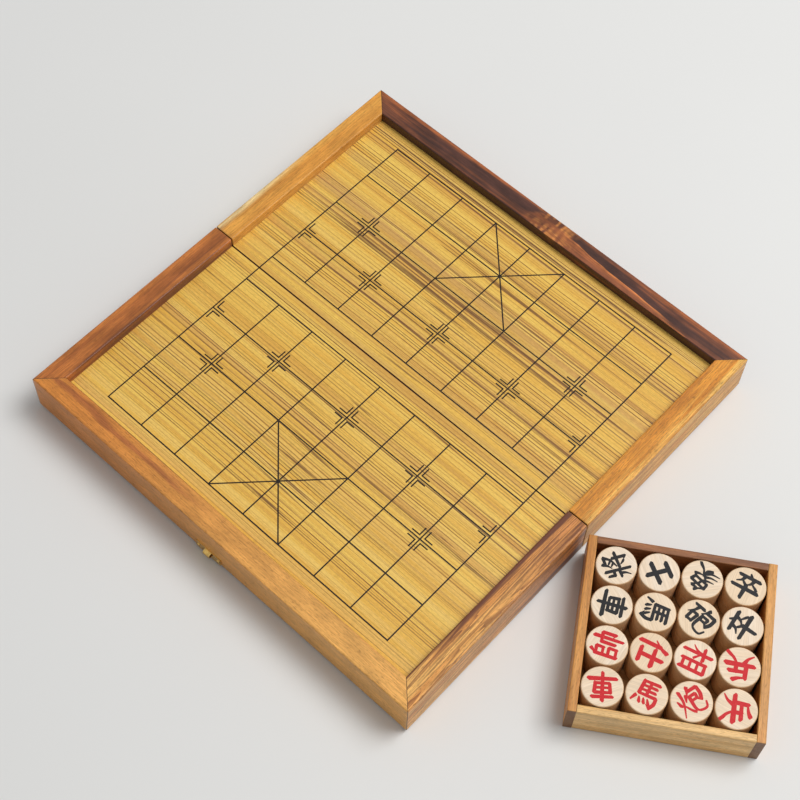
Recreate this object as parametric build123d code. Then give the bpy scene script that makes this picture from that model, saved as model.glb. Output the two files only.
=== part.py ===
from build123d import *
import math
import os

# A folding board box for xiangqi, lying open on a table with its tray of pieces beside it. Two shallow boxes are
# hinged underneath, so that their outer faces make one board when they lie flat. One half swings down and under the
# other to close the box, and the hollow inside then holds the tray.
# +X runs along the fold, +Y across it to the back rail, +Z up, and the table is at z = 0. Lengths are in mm.

# ---- the grid on the board ----------------------------------------------------------------------------------------
files = 9  # lines that run across the fold
ranks = 5  # lines along the fold, in each half
file_pitch = 28.1
rank_pitch = 28.7
river_width = 22.6  # between the two ranks nearest the fold
side_margin = 23.4  # from the outer files to the side rails
end_margin = 10.5  # from the outer ranks to the front and back rails
line_width = 0.9
line_depth = 0.2
palace_reach = 2  # ranks from the outer rank to the palace's inner side
mark_offset = 2.0  # from a line to the right-angled marks beside it
mark_arm = 5.3
soldier_rank = 1  # counted from the river
cannon_rank = 2

# ---- the two halves -----------------------------------------------------------------------------------------------
rail_width = 14.2
rail_height = 30.0
rail_ease = 0.9  # radius on the long edges of the rails
end_ease = 0.4  # on the square ends of the side rails, at the fold
recess_depth = 7.2  # from the top of the rails down to the playing surface
veneer_thickness = 0.8
panel_thickness = 3.5
groove_depth = 4.0  # how far the panel is let into the rails
seam_wall_width = 10.0
seam_gap = 0.6  # between the halves at the fold
closing_gap = 0.2  # between the rails of the two halves when the box is shut

# ---- the hinges under the fold ------------------------------------------------------------------------------------
hinge_inset = 60.0  # from the end of the board to the middle of a hinge
hinge_length = 25.0
leaf_reach = 8.2  # from the fold to the far edge of a leaf
leaf_thickness = 0.8
knuckle_radius = 1.25
knuckle_play = 0.2  # between neighbouring knuckles
knuckle_clearance = 0.3  # between a knuckle and the wood cut away round it
pin_radius = 0.6
pin_clearance = 0.05
pin_head_radius = 0.9
pin_head_height = 0.4
screw_radius = 0.95
screw_head_radius = 1.9
screw_length = 9.0
screws_per_leaf = 3
screw_slot = 0.45  # its width and depth
fit_play = 0.05  # round a screw or nail in its hole

# ---- the catch ----------------------------------------------------------------------------------------------------
clasp_x = -4.0  # the catch sits a little to the left of the middle
clasp_sheet = 0.7  # brass sheet thickness
clasp_corner = 1.3
clasp_play = 0.2  # between parts of the catch that pass each other
catch_width = 20.0
catch_height = 7.6
catch_rise = 4.2  # from the rail's foot up to the middle of the loop
loop_radius = 2.2
loop_length = 5.0
slot_play = 0.35  # round the loop in the flap's slot
hasp_width = 17.0
hasp_plate_height = 9.0
hasp_axis_rise = 5.6  # from the rail's foot up to the flap's pin
hasp_knuckle_radius = 1.4
hasp_pin_radius = 0.5
flap_width = 12.4
flap_knuckle = 8.0
flap_toe = 1.7  # of sheet beyond the slot, before the curl
curl_radius = 1.7
curl_length = 6.0
flap_top_swing = 165.0  # from hanging straight down to leaning back on the rail, in degrees
nail_radius = 0.6
nail_head_radius = 1.2
nail_head_height = 0.5
nail_length = 7.0
nail_inset = 2.0  # from a plate's edge to its nail

# ---- the pieces and their tray ------------------------------------------------------------------------------------
piece_diameter = 23.5
piece_height = 11.75
piece_edge = 0.8
piece_gap = 0.75  # between neighbours in the tray
stack_gap = 0.05  # under each piece in its stack
pieces_proud = 0.5  # the top layer stands above the tray's rim
tray_side_wall = 5.1
tray_end_wall = 4.4
tray_floor = 3.0
tray_rebate = 2.4  # how far the floor is let into the walls
tray_ease = 0.5
tray_turn = 33.0  # degrees anticlockwise from the board, seen from above
tray_clearance = 3.0  # from the board to the nearest corner of the tray
tray_y = -16.5  # the tray's middle, from the fold

upper_layer = [
    ["black_general", "black_advisor_1", "black_elephant_1", "black_soldier_1"],
    ["black_chariot_1", "black_horse_1", "black_cannon_1", "black_soldier_2"],
    ["red_general", "red_advisor_1", "red_elephant_1", "red_soldier_1"],
    ["red_chariot_1", "red_horse_1", "red_cannon_1", "red_soldier_2"],
]
lower_layer = [
    ["black_advisor_2", "black_elephant_2", "black_chariot_2", "black_horse_2"],
    ["black_cannon_2", "black_soldier_3", "black_soldier_4", "black_soldier_5"],
    ["red_advisor_2", "red_elephant_2", "red_chariot_2", "red_horse_2"],
    ["red_cannon_2", "red_soldier_3", "red_soldier_4", "red_soldier_5"],
]

# ---- worked out from the sizes above ------------------------------------------------------------------------------
grid_width = (files - 1) * file_pitch
half_grid_depth = (ranks - 1) * rank_pitch
board_length = grid_width + 2 * (side_margin + rail_width)
half_depth = river_width / 2 + half_grid_depth + end_margin + rail_width
fold_z = knuckle_radius  # the knuckles touch the table
rail_foot = fold_z + closing_gap / 2
surface_z = rail_foot + rail_height - recess_depth
veneer_z = surface_z - veneer_thickness
panel_z = veneer_z - panel_thickness
inner_x = board_length / 2 - rail_width  # the inner faces of the side rails
inner_y = half_depth - rail_width  # the inner face of the long rail
seam_y = seam_gap / 2
hinge_x = board_length / 2 - hinge_inset
relief_radius = knuckle_radius + knuckle_clearance
knuckle_length = (hinge_length - 2 * knuckle_play) / 3
pin_end = hinge_length / 2 + pin_head_height + fit_play

hasp_axis_out = hasp_knuckle_radius + clasp_play
slot_drop = hasp_axis_rise + catch_rise + closing_gap  # from the flap's pin down to the loop, with the box shut
flap_length = slot_drop + loop_radius + slot_play + flap_toe
flap_back = clasp_sheet + clasp_play - hasp_axis_out  # the flap's inner face, from its pin
curl_out = flap_back + curl_radius
curl_from_pin = math.hypot(flap_length, curl_out)
curl_drop = rail_foot + hasp_axis_rise - curl_radius - fit_play  # from the pin's height to the curl's, on the table
flap_rest = math.degrees(math.acos(curl_drop / curl_from_pin) - math.atan2(curl_out, flap_length))

rows = len(upper_layer)
columns = len(upper_layer[0])
piece_pitch = piece_diameter + piece_gap
tray_inner_x = columns * piece_pitch
tray_inner_y = rows * piece_pitch
tray_outer_x = tray_inner_x + 2 * tray_side_wall
tray_outer_y = tray_inner_y + 2 * tray_end_wall
layer_step = piece_height + stack_gap
tray_height = tray_floor + 2 * layer_step - pieces_proud
turn = math.radians(tray_turn)
tray_half_span = (tray_outer_x * math.cos(turn) + tray_outer_y * math.sin(turn)) / 2
tray_x = board_length / 2 + tray_clearance + tray_half_span

parts = {}


def block(x, y, z):
    """A box between the given low and high values along X, Y and Z."""
    return Pos(x[0], y[0], z[0]) * Box(x[1] - x[0], y[1] - y[0], z[1] - z[0], align=Align.MIN)


def rod(radius, low, high):
    """A round bar along X from low to high, on the X axis."""
    return Pos((low + high) / 2, 0, 0) * Rot(0, 90, 0) * Cylinder(radius, high - low)


def headed_pin(radius, head_radius, half_length):
    """A hinge pin along X with a small flat head at each end."""
    pin = rod(radius, -half_length, half_length)
    for end in (-1, 1):
        head = sorted((end * half_length, end * (half_length - pin_head_height)))
        pin += rod(head_radius, *head)
    return pin


# ---- rails --------------------------------------------------------------------------------------------------------
def rail_section():
    """A rail's section, with its outer face at x = 0 and its foot at y = 0, and the groove that holds the panel."""
    outline = Rectangle(rail_width, rail_height, align=Align.MIN)
    outline = fillet(outline.vertices(), min(rail_ease, rail_width / 4))
    groove = Rectangle(groove_depth, panel_thickness, align=Align.MIN)
    return outline - Pos(rail_width - groove_depth, panel_z - rail_foot) * groove


def eased_end(rail):
    """The rail with the top and outer edges of its square end at the fold broken."""
    end = rail.faces().sort_by(Axis.Y)[-1]
    above_groove = end.edges().filter_by(lambda edge: edge.center().Z > veneer_z + veneer_thickness / 2)
    return chamfer(above_groove, min(end_ease, recess_depth / 4))


def near_rails():
    """The near half's long rail, left rail and right rail, mitred where they meet."""
    section = rail_section()
    side_length = half_depth - seam_y
    long_start = Plane((-board_length / 2, -half_depth, rail_foot), x_dir=(0, 1, 0), z_dir=(1, 0, 0))
    left_start = Plane((-board_length / 2, -seam_y, rail_foot), x_dir=(1, 0, 0), z_dir=(0, -1, 0))
    right_start = Plane((board_length / 2, -half_depth, rail_foot), x_dir=(-1, 0, 0), z_dir=(0, 1, 0))
    left_mitre = Plane((-board_length / 2, -half_depth, 0), x_dir=(0, 0, 1), z_dir=(1, -1, 0))
    right_mitre = Plane((board_length / 2, -half_depth, 0), x_dir=(0, 0, 1), z_dir=(-1, -1, 0))
    long_rail = extrude(long_start * section, board_length)
    long_rail = split(split(long_rail, left_mitre, Keep.TOP), right_mitre, Keep.TOP)
    left_rail = split(extrude(left_start * section, side_length), left_mitre, Keep.BOTTOM)
    right_rail = split(extrude(right_start * section, side_length), right_mitre, Keep.BOTTOM)
    return long_rail, eased_end(left_rail), eased_end(right_rail)


# ---- panel and scored veneer --------------------------------------------------------------------------------------
def panel():
    """The thin panel under the veneer, let into the three rails and laid over the seam wall."""
    reach_x = inner_x + groove_depth
    return block((-reach_x, reach_x), (-inner_y - groove_depth, -seam_y), (panel_z, veneer_z))


def file_x(number):
    return (number - (files - 1) / 2) * file_pitch


def rank_y(number):
    """A rank of the near half, counted from the river."""
    return -river_width / 2 - number * rank_pitch


def corner_marks(x, y, sides):
    """The right-angled marks round one point of the grid, as pairs of line ends."""
    lines = []
    for side in sides:
        for end in (-1, 1):
            corner = (x + side * mark_offset, y + end * mark_offset)
            lines.append((corner, (corner[0] + side * mark_arm, corner[1])))
            lines.append((corner, (corner[0], corner[1] + end * mark_arm)))
    return lines


def grid_lines():
    """Every line of the near half's grid, as pairs of ends."""
    last_file, last_rank = files - 1, ranks - 1
    middle = last_file // 2
    lines = [((file_x(0), rank_y(n)), (file_x(last_file), rank_y(n))) for n in range(ranks)]
    for n in range(files):
        start = 0 if n in (0, last_file) else rank_y(0)
        lines.append(((file_x(n), start), (file_x(n), rank_y(last_rank))))
    for side in (-1, 1):
        inner_corner = (file_x(middle - side), rank_y(last_rank - palace_reach))
        lines.append((inner_corner, (file_x(middle + side), rank_y(last_rank))))
    for n in range(0, files, 2):
        sides = [side for side in (-1, 1) if 0 <= n + side <= last_file]
        lines += corner_marks(file_x(n), rank_y(soldier_rank), sides)
    for n in (1, last_file - 1):
        lines += corner_marks(file_x(n), rank_y(cannon_rank), (-1, 1))
    return lines


def scored_line(start, end):
    """The cutter for one line, square-ended half a line's width past each end."""
    run = Vector(*end) - Vector(*start)
    middle = (Vector(*start) + Vector(*end)) / 2
    angle = math.degrees(math.atan2(run.Y, run.X))
    bar = Box(run.length + line_width, line_width, 2 * line_depth)
    return Pos(middle.X, middle.Y, surface_z) * Rot(0, 0, angle) * bar


def veneer():
    """The playing surface of the near half, with the grid scored into it."""
    sheet = block((-inner_x, inner_x), (-inner_y, -seam_y), (veneer_z, surface_z))
    return sheet - [scored_line(start, end) for start, end in grid_lines()]


# ---- hinges, let into the feet of the seam walls --------------------------------------------------------------------
def screw_places(x):
    """The middles of the screws in the leaf whose middle is at x."""
    pitch = hinge_length / screws_per_leaf
    y = -(relief_radius + leaf_reach) / 2
    return [(x + (n - (screws_per_leaf - 1) / 2) * pitch, y) for n in range(screws_per_leaf)]


def screw_blank(place, play):
    """A countersunk screw, point up, its head level with the rails' feet, grown all round by play."""
    low = (Align.CENTER, Align.CENTER, Align.MIN)
    head = Cone(screw_head_radius + play, screw_radius + play, screw_head_radius - screw_radius, align=low)
    shank = Cylinder(screw_radius + play, screw_length + play, align=low)
    return Pos(*place, rail_foot) * (head + shank)


def screw(place):
    slot = Pos(*place, rail_foot) * Box(2 * screw_head_radius, screw_slot, 2 * screw_slot)
    return screw_blank(place, 0) - slot


def hinge_leaf(x, own_knuckles):
    """A leaf of the near half: a plate, and those of the three knuckles that belong to it."""
    half = hinge_length / 2
    plate_z = (rail_foot, rail_foot + leaf_thickness)
    leaf = block((x - half, x + half), (-leaf_reach, -relief_radius), plate_z)
    for n in own_knuckles:
        low = x - half + n * (knuckle_length + knuckle_play)
        leaf += block((low, low + knuckle_length), (-relief_radius, 0), plate_z)
        leaf += Pos(0, 0, fold_z) * rod(knuckle_radius, low, low + knuckle_length)
    leaf -= Pos(0, 0, fold_z) * rod(pin_radius + pin_clearance, x - half, x + half)
    return leaf - [screw_blank(place, fit_play) for place in screw_places(x)]


def seam_wall():
    """The near half's wall along the fold, under the panel, cut out for the leaves, knuckles and screws."""
    wall = block((-inner_x, inner_x), (-seam_y - seam_wall_width, -seam_y), (rail_foot, panel_z))
    for x in (-hinge_x, hinge_x):
        half = hinge_length / 2
        wall -= block((x - half, x + half), (-leaf_reach, 0), (rail_foot, rail_foot + leaf_thickness))
        wall -= Pos(0, 0, fold_z) * rod(relief_radius, x - pin_end - knuckle_play, x + pin_end + knuckle_play)
        wall -= [screw_blank(place, fit_play) for place in screw_places(x)]
    return wall


# ---- catch: every piece is made on the near half's long rail, x along it, y up from its foot, z outward ----------------
rail_face = Plane((0, -half_depth, rail_foot), x_dir=(1, 0, 0), z_dir=(0, -1, 0)).location
catch_nails = [(side * (catch_width / 2 - nail_inset), catch_rise) for side in (-1, 1)]
hasp_nail_y = hasp_axis_rise + hasp_plate_height - nail_inset
hasp_nails = [(side * (hasp_width / 2 - nail_inset), hasp_nail_y) for side in (-1, 1)]


def nail_blank(place, play):
    """A nail's shank from the outside of the plate into the rail, grown all round by play."""
    low = (Align.CENTER, Align.CENTER, Align.MAX)
    return Pos(*place, clasp_sheet) * Cylinder(nail_radius + play, nail_length + play, align=low)


def nail(place):
    """A nail with a domed head, which lies on the plate."""
    head = Cylinder(nail_head_radius, nail_head_height, align=(Align.CENTER, Align.CENTER, Align.MIN))
    rim = head.edges().filter_by(GeomType.CIRCLE).sort_by(Axis.Z)[-1]
    head = fillet(rim, nail_head_height * 0.8)
    return Pos(*place, clasp_sheet) * head + nail_blank(place, 0)


def catch_plate():
    """The catch plate, with a loop pressed out of its middle for the flap to drop over."""
    bore = loop_radius - clasp_sheet
    plate = extrude(RectangleRounded(catch_width, catch_height, clasp_corner), clasp_sheet)
    plate -= Box(loop_length, 2 * bore, 4 * clasp_sheet)
    loop = rod(loop_radius, -loop_length / 2, loop_length / 2) - rod(bore, -loop_length, loop_length)
    loop = split(loop, Plane.XY, Keep.TOP)
    plate = Pos(0, catch_rise, 0) * (plate + Pos(0, 0, clasp_sheet) * loop)
    return plate - [nail_blank(place, fit_play) for place in catch_nails]


def hasp_plate():
    """The plate that carries the flap, with a knuckle at each end and room for the flap's knuckle between."""
    half = hasp_width / 2
    outline = Pos(0, hasp_axis_rise + hasp_plate_height / 2) * Rectangle(hasp_width, hasp_plate_height)
    outline = fillet(outline.vertices().group_by(Axis.Y)[-1], clasp_corner)
    plate = extrude(outline, clasp_sheet)
    at_pin = Pos(0, hasp_axis_rise, hasp_axis_out)
    knuckle_start = flap_knuckle / 2 + clasp_play
    plate -= at_pin * rod(hasp_knuckle_radius + clasp_play, -knuckle_start, knuckle_start)
    for side in (-1, 1):
        plate += at_pin * rod(hasp_knuckle_radius, *sorted((side * knuckle_start, side * half)))
    plate -= at_pin * rod(hasp_pin_radius + pin_clearance, -half, half)
    return plate - [nail_blank(place, fit_play) for place in hasp_nails]


def hasp_flap():
    """The flap about its pin, hanging straight down, with the slot for the loop and a curled lip to lift it by."""
    neck = hasp_knuckle_radius + clasp_play
    right_side = [
        (flap_knuckle / 2, 0),
        (flap_knuckle / 2, -neck),
        (flap_width / 2, -neck),
        (flap_width / 2, -slot_drop),
        (curl_length / 2, -flap_length),
    ]
    left_side = [(-x, y) for x, y in reversed(right_side)]
    outline = make_face(Polyline(*right_side, *left_side, close=True))
    shoulders = [corner for corner in outline.vertices() if abs(corner.X) > flap_width / 2 - clasp_play]
    outline = fillet(shoulders, clasp_corner)
    slot = RectangleRounded(loop_length + 2 * slot_play, 2 * (loop_radius + slot_play), clasp_sheet)
    flap = Pos(0, 0, flap_back) * extrude(outline - Pos(0, -slot_drop) * slot, clasp_sheet)
    curl = rod(curl_radius, -curl_length / 2, curl_length / 2)
    curl -= rod(curl_radius - clasp_sheet, -curl_length, curl_length)
    curl -= block((-curl_length, curl_length), (0, 2 * curl_radius), (-2 * curl_radius, 0))
    flap += Pos(0, -flap_length, curl_out) * curl
    flap += rod(hasp_knuckle_radius, -flap_knuckle / 2, flap_knuckle / 2)
    return flap - rod(hasp_pin_radius + pin_clearance, -flap_width, flap_width)


def add_near_half(half, names, own_knuckles, put):
    """Makes one half of the box under the given names. put places what is made at the near side of the fold."""
    long_rail, left_rail, right_rail = near_rails()
    nails = catch_nails if half == "a" else hasp_nails
    clasp_place = rail_face * Pos(clasp_x if half == "a" else -clasp_x, 0, 0)
    long_rail -= [clasp_place * nail_blank(place, fit_play) for place in nails]
    for name, solid in zip(names, (long_rail, left_rail, right_rail)):
        parts[f"{name}_{half}"] = put * solid
    parts[f"seam_wall_{half}"] = put * seam_wall()
    parts[f"panel_{half}"] = put * panel()
    parts[f"veneer_{half}"] = put * veneer()
    fasteners = [clasp_place * nail(place) for place in nails]
    for side, x in (("left", -hinge_x), ("right", hinge_x)):
        own_x = x if half == "a" else -x
        parts[f"hinge_{side}_leaf_{half}"] = put * hinge_leaf(own_x, own_knuckles)
        fasteners += [screw(place) for place in screw_places(own_x)]
    parts[f"screws_{half}"] = put * Compound(fasteners)


# ---- the box ------------------------------------------------------------------------------------------------------
turned_round = Rot(0, 0, 180)
add_near_half("a", ("front_rail", "left_rail", "right_rail"), (0, 2), Pos(0, 0, 0))
add_near_half("b", ("back_rail", "right_rail", "left_rail"), (1,), turned_round)

hinge_pin = headed_pin(pin_radius, pin_head_radius, pin_end)
parts["hinge_pins"] = Compound([Pos(x, 0, fold_z) * hinge_pin for x in (-hinge_x, hinge_x)])

back_face = turned_round * rail_face * Pos(-clasp_x, 0, 0)
hasp_axis = Pos(0, hasp_axis_rise, hasp_axis_out)
parts["catch_plate"] = rail_face * Pos(clasp_x, 0, 0) * catch_plate()
parts["hasp_plate"] = back_face * hasp_plate()
parts["hasp_flap"] = back_face * hasp_axis * Rot(-flap_rest, 0, 0) * hasp_flap()
hasp_pin_end = hasp_width / 2 + pin_head_height + fit_play
parts["hasp_pin"] = back_face * hasp_axis * headed_pin(hasp_pin_radius, pin_head_radius, hasp_pin_end)


# ---- the tray -----------------------------------------------------------------------------------------------------
def tray_wall(x, y, along):
    """A wall of the tray with its long edges eased."""
    wall = block(x, y, (0, tray_height))
    return fillet(wall.edges().filter_by(along), tray_ease)


tray_place = Pos(tray_x, tray_y, 0) * Rot(0, 0, tray_turn)
floor_x = tray_inner_x / 2 + tray_rebate
floor_y = tray_inner_y / 2 + tray_rebate
floor_panel = block((-floor_x, floor_x), (-floor_y, floor_y), (0, tray_floor))
outer_x, wall_x = tray_outer_x / 2, tray_inner_x / 2
outer_y, wall_y = tray_outer_y / 2, tray_inner_y / 2
tray_parts = {
    "tray_left_wall": tray_wall((-outer_x, -wall_x), (-outer_y, outer_y), Axis.Y) - floor_panel,
    "tray_right_wall": tray_wall((wall_x, outer_x), (-outer_y, outer_y), Axis.Y) - floor_panel,
    "tray_front_wall": tray_wall((-wall_x, wall_x), (-outer_y, -wall_y), Axis.X) - floor_panel,
    "tray_back_wall": tray_wall((-wall_x, wall_x), (wall_y, outer_y), Axis.X) - floor_panel,
    "tray_bottom": floor_panel,
}
for name, solid in tray_parts.items():
    parts[name] = tray_place * solid

# ---- the pieces, turned discs in two layers, back row first -------------------------------------------------------
disc = Cylinder(piece_diameter / 2, piece_height, align=(Align.CENTER, Align.CENTER, Align.MIN))
disc = fillet(disc.edges().filter_by(GeomType.CIRCLE), piece_edge)
for layer, names in enumerate((lower_layer, upper_layer)):
    foot = tray_floor + stack_gap + layer * layer_step
    for row in range(rows):
        for column in range(columns):
            x = (column - (columns - 1) / 2) * piece_pitch
            y = ((rows - 1) / 2 - row) * piece_pitch
            parts[names[row][column]] = tray_place * Pos(x, y, foot) * disc

# ---- the origin is the middle of the footprint of board and tray together, on the table ----------------------------
footprint = Compound(list(parts.values())).bounding_box()
origin = Pos(-footprint.center().X, -footprint.center().Y, -footprint.min.Z)
os.makedirs("parts", exist_ok=True)
for name, solid in parts.items():
    export_step(origin * solid, f"parts/{name}.step")
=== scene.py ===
import math

import bmesh
import bpy
from mathutils import Matrix, Vector
from mathutils.geometry import convex_hull_2d, delaunay_2d_cdt


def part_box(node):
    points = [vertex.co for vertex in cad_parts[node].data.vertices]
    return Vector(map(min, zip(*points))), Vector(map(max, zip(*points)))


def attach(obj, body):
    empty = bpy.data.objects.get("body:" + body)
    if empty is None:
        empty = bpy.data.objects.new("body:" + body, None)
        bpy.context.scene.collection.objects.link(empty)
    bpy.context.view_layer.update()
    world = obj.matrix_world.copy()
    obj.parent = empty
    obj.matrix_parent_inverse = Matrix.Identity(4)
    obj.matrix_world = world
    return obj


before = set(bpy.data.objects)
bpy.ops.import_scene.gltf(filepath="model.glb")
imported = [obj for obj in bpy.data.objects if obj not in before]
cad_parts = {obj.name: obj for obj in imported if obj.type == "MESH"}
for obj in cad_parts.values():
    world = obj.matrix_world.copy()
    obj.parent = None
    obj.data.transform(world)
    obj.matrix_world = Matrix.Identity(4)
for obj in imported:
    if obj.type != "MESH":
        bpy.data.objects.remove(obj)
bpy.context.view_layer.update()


# ---- the view --------------------------------------------------------------------------------------------
# A camera with a long lens stands off the board's front right corner and looks down on it, tilted a little
# about its own line of sight. It aims at a spot on the playing surface, a short way from the fold's middle.
view_azimuth, view_elevation, view_roll = math.radians(40.5), math.radians(60.39), math.radians(2.44)
view_distance = 1.0204
lens_length, sensor_width = 77.49, 36.0  # in millimetres
aim_from_fold = Vector((0.0147, -0.0097, 0))

near_veneer, far_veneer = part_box("veneer_a"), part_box("veneer_b")
fold_middle = (near_veneer[0] + far_veneer[1]) / 2
surface_z = near_veneer[1].z
fold_middle.z = surface_z

line_of_sight = Vector((math.sin(view_azimuth) * math.cos(view_elevation),
                        -math.cos(view_azimuth) * math.cos(view_elevation),
                        math.sin(view_elevation)))
camera = bpy.data.objects.new("camera", bpy.data.cameras.new("camera"))
camera.data.lens, camera.data.sensor_width = lens_length, sensor_width
camera.location = fold_middle + aim_from_fold + line_of_sight * view_distance
upright = (-line_of_sight).to_track_quat("-Z", "Y").to_matrix()
camera.rotation_euler = (upright @ Matrix.Rotation(view_roll, 3, "Z")).to_euler()
bpy.context.scene.collection.objects.link(camera)
bpy.context.scene.camera = camera


# ---- the six rails ---------------------------------------------------------------------------------------
# Solid hardwood, each rail from another plank, so that no two match. They are sawn to one section, mitred
# and glued at the outer corners, softened along the edges and lacquered to a satin.
def tint(red, green, blue):
    """A colour as the eye sees it, 0 to 255, in the linear values that a shader takes."""
    shares = [c / 255 for c in (red, green, blue)]
    return (*[s / 12.92 if s <= 0.04045 else ((s + 0.055) / 1.055) ** 2.4 for s in shares], 1)


def feed(tree, inputs, values):
    """Sets each named input to its value, or joins it to another node's output."""
    for name, value in values.items():
        if isinstance(value, bpy.types.NodeSocket):
            tree.links.new(value, inputs[name])
        else:
            inputs[name].default_value = value


def add(tree, kind, values=None, **settings):
    """A new node in the tree, with its settings made and its inputs fed."""
    node = tree.nodes.new("ShaderNode" + kind)
    for name, setting in settings.items():
        setattr(node, name, setting)
    feed(tree, node.inputs, values or {})
    return node


def maths(tree, operation, *values):
    """The result of a sum on numbers or sockets."""
    return add(tree, "Math", dict(enumerate(values)), operation=operation).outputs[0]


def vectors(tree, operation, *values):
    """The place or direction that a sum on places or directions gives."""
    return add(tree, "VectorMath", dict(enumerate(values)), operation=operation).outputs["Vector"]


def measure(tree, operation, *values):
    """The one number that a sum on places or directions gives, such as a length."""
    return add(tree, "VectorMath", dict(enumerate(values)), operation=operation).outputs["Value"]


def axes(tree, place):
    """The X, Y and Z of a place."""
    return add(tree, "SeparateXYZ", {0: place}).outputs


def ramp(tree, value, low, high, start=0.0, end=1.0):
    """The value eased from start to end while it goes from low to high."""
    values = {"Value": value, "From Min": low, "From Max": high, "To Min": start, "To Max": end}
    return add(tree, "MapRange", values, interpolation_type="SMOOTHSTEP").outputs["Result"]


def noise(tree, place, per_metre, detail=2.0, rough=0.5, squeeze=None, output="Fac"):
    """Soft random patches, so many to the metre. A squeeze under one draws them out along that axis."""
    if squeeze:
        place = vectors(tree, "MULTIPLY", place, squeeze)
    values = {"Vector": place, "Scale": per_metre, "Detail": detail, "Roughness": rough}
    return add(tree, "TexNoise", values).outputs[output]


def blend_colours(tree, share, first, second, way="MIX"):
    """The first colour, mixed with or multiplied by the second by the given share."""
    values = {"Factor": share, 6: first, 7: second}  # inputs 6 and 7 are the node's two colours
    return add(tree, "Mix", values, data_type="RGBA", blend_type=way).outputs[2]


def lay_over(tree, colour, mask, strength, top):
    """The colour with another laid over it where the mask is, no stronger than the given strength."""
    return blend_colours(tree, maths(tree, "MULTIPLY", mask, strength), colour, top)


def effect(name, inputs, outputs):
    """An empty node group with its sockets, each a name, a kind and, for an input, its first value."""
    group = bpy.data.node_groups.new(name, "ShaderNodeTree")
    for socket, kind, value in inputs:
        item = group.interface.new_socket(socket, in_out="INPUT", socket_type="NodeSocket" + kind)
        item.default_value = value
    for socket, kind in outputs:
        group.interface.new_socket(socket, in_out="OUTPUT", socket_type="NodeSocket" + kind)
    return group, group.nodes.new("NodeGroupInput").outputs, group.nodes.new("NodeGroupOutput").inputs


def use(tree, group, values):
    """A group placed in a material with that material's own values. Returns its outputs."""
    return add(tree, "Group", values, node_tree=group).outputs


def plank_grain_group():
    """Straight grown wood with its grain along X: bands, streaks, veins, fibres, curls and pores."""
    group, take, give = effect(
        "plank grain",
        [("Place", "Vector", (0, 0, 0)), ("Pale", "Color", (1, 1, 1, 1)), ("Deep", "Color", (1, 1, 1, 1)),
         ("Streak", "Color", (1, 1, 1, 1)), ("Streak Share", "Float", 0.2), ("Band Width", "Float", 0.004),
         ("Waviness", "Float", 0.002), ("Veins", "Float", 0.2), ("Figure", "Float", 0.1),
         ("Pores", "Float", 0.4)],
        [("Color", "Color"), ("Roughness", "Float"), ("Height", "Float")])
    fibres_per_metre, pores_per_metre, curls_per_metre, bends_per_metre = 1300, 2000, 110, 24
    rings_in_step, grain_squeeze = 9, (0.045, 1, 1)
    place = take["Place"]

    # The grain wanders a little off its line. Bands, rings and fibres are drawn out some twenty times.
    wander = noise(group, place, bends_per_metre, 1, squeeze=(0.35, 1, 1), output="Color")
    wander = vectors(group, "SUBTRACT", wander, (0.5, 0.5, 0.5))
    wander = add(group, "VectorMath", {0: wander, "Scale": take["Waviness"]}, operation="SCALE").outputs[0]
    grown = vectors(group, "MULTIPLY", vectors(group, "ADD", place, wander), grain_squeeze)

    # Pale and deep bands come first, then dark streaks on a share of the plank, then the rings' fine veins.
    bands_per_metre = maths(group, "DIVIDE", 1, take["Band Width"])
    bands = noise(group, grown, bands_per_metre, 3)
    colour = blend_colours(group, ramp(group, bands, 0.34, 0.66), take["Pale"], take["Deep"])
    elsewhere = vectors(group, "ADD", grown, (0.3, 0.7, 0.1))
    wide = noise(group, elsewhere, maths(group, "MULTIPLY", bands_per_metre, 0.45), 4, rough=0.6)
    streak_level = maths(group, "SUBTRACT", 0.76, maths(group, "MULTIPLY", take["Streak Share"], 0.5))
    streaks = ramp(group, maths(group, "SUBTRACT", wide, streak_level), -0.04, 0.09)
    colour = blend_colours(group, streaks, colour, take["Streak"])
    rings = noise(group, grown, maths(group, "MULTIPLY", bands_per_metre, 0.8), 2)
    rings = maths(group, "FRACT", maths(group, "MULTIPLY", rings, rings_in_step))
    veins = maths(group, "MULTIPLY", ramp(group, rings, 0.45, 0.95), take["Veins"])
    colour = lay_over(group, colour, veins, 0.8, take["Streak"])

    # Fibres and curls make it lighter and darker, and the pores are short dark dashes.
    fibres = noise(group, grown, fibres_per_metre, 3, rough=0.75)
    colour = blend_colours(group, 1.0, colour, ramp(group, fibres, 0.3, 0.7, 0.77, 1.14), "MULTIPLY")
    curls = noise(group, place, curls_per_metre, 3, rough=0.6, squeeze=(0.45, 1, 0.8))
    curls = maths(group, "MULTIPLY", ramp(group, curls, 0.3, 0.7, -1, 1), take["Figure"])
    colour = blend_colours(group, 1.0, colour, maths(group, "ADD", curls, 1), "MULTIPLY")
    dashes = noise(group, place, pores_per_metre, 1, squeeze=(0.16, 1, 1))
    pores = maths(group, "MULTIPLY", ramp(group, dashes, 0.55, 0.68), take["Pores"])
    colour = blend_colours(group, pores, colour, tint(96, 60, 34))

    roughness = maths(group, "ADD", maths(group, "MULTIPLY", bands, 0.16),
                      maths(group, "MULTIPLY_ADD", pores, 0.25, 0.3))
    height = maths(group, "SUBTRACT", maths(group, "MULTIPLY", fibres, 0.3), pores)
    feed(group, give, {"Color": colour, "Roughness": roughness, "Height": height})
    return group


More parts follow.
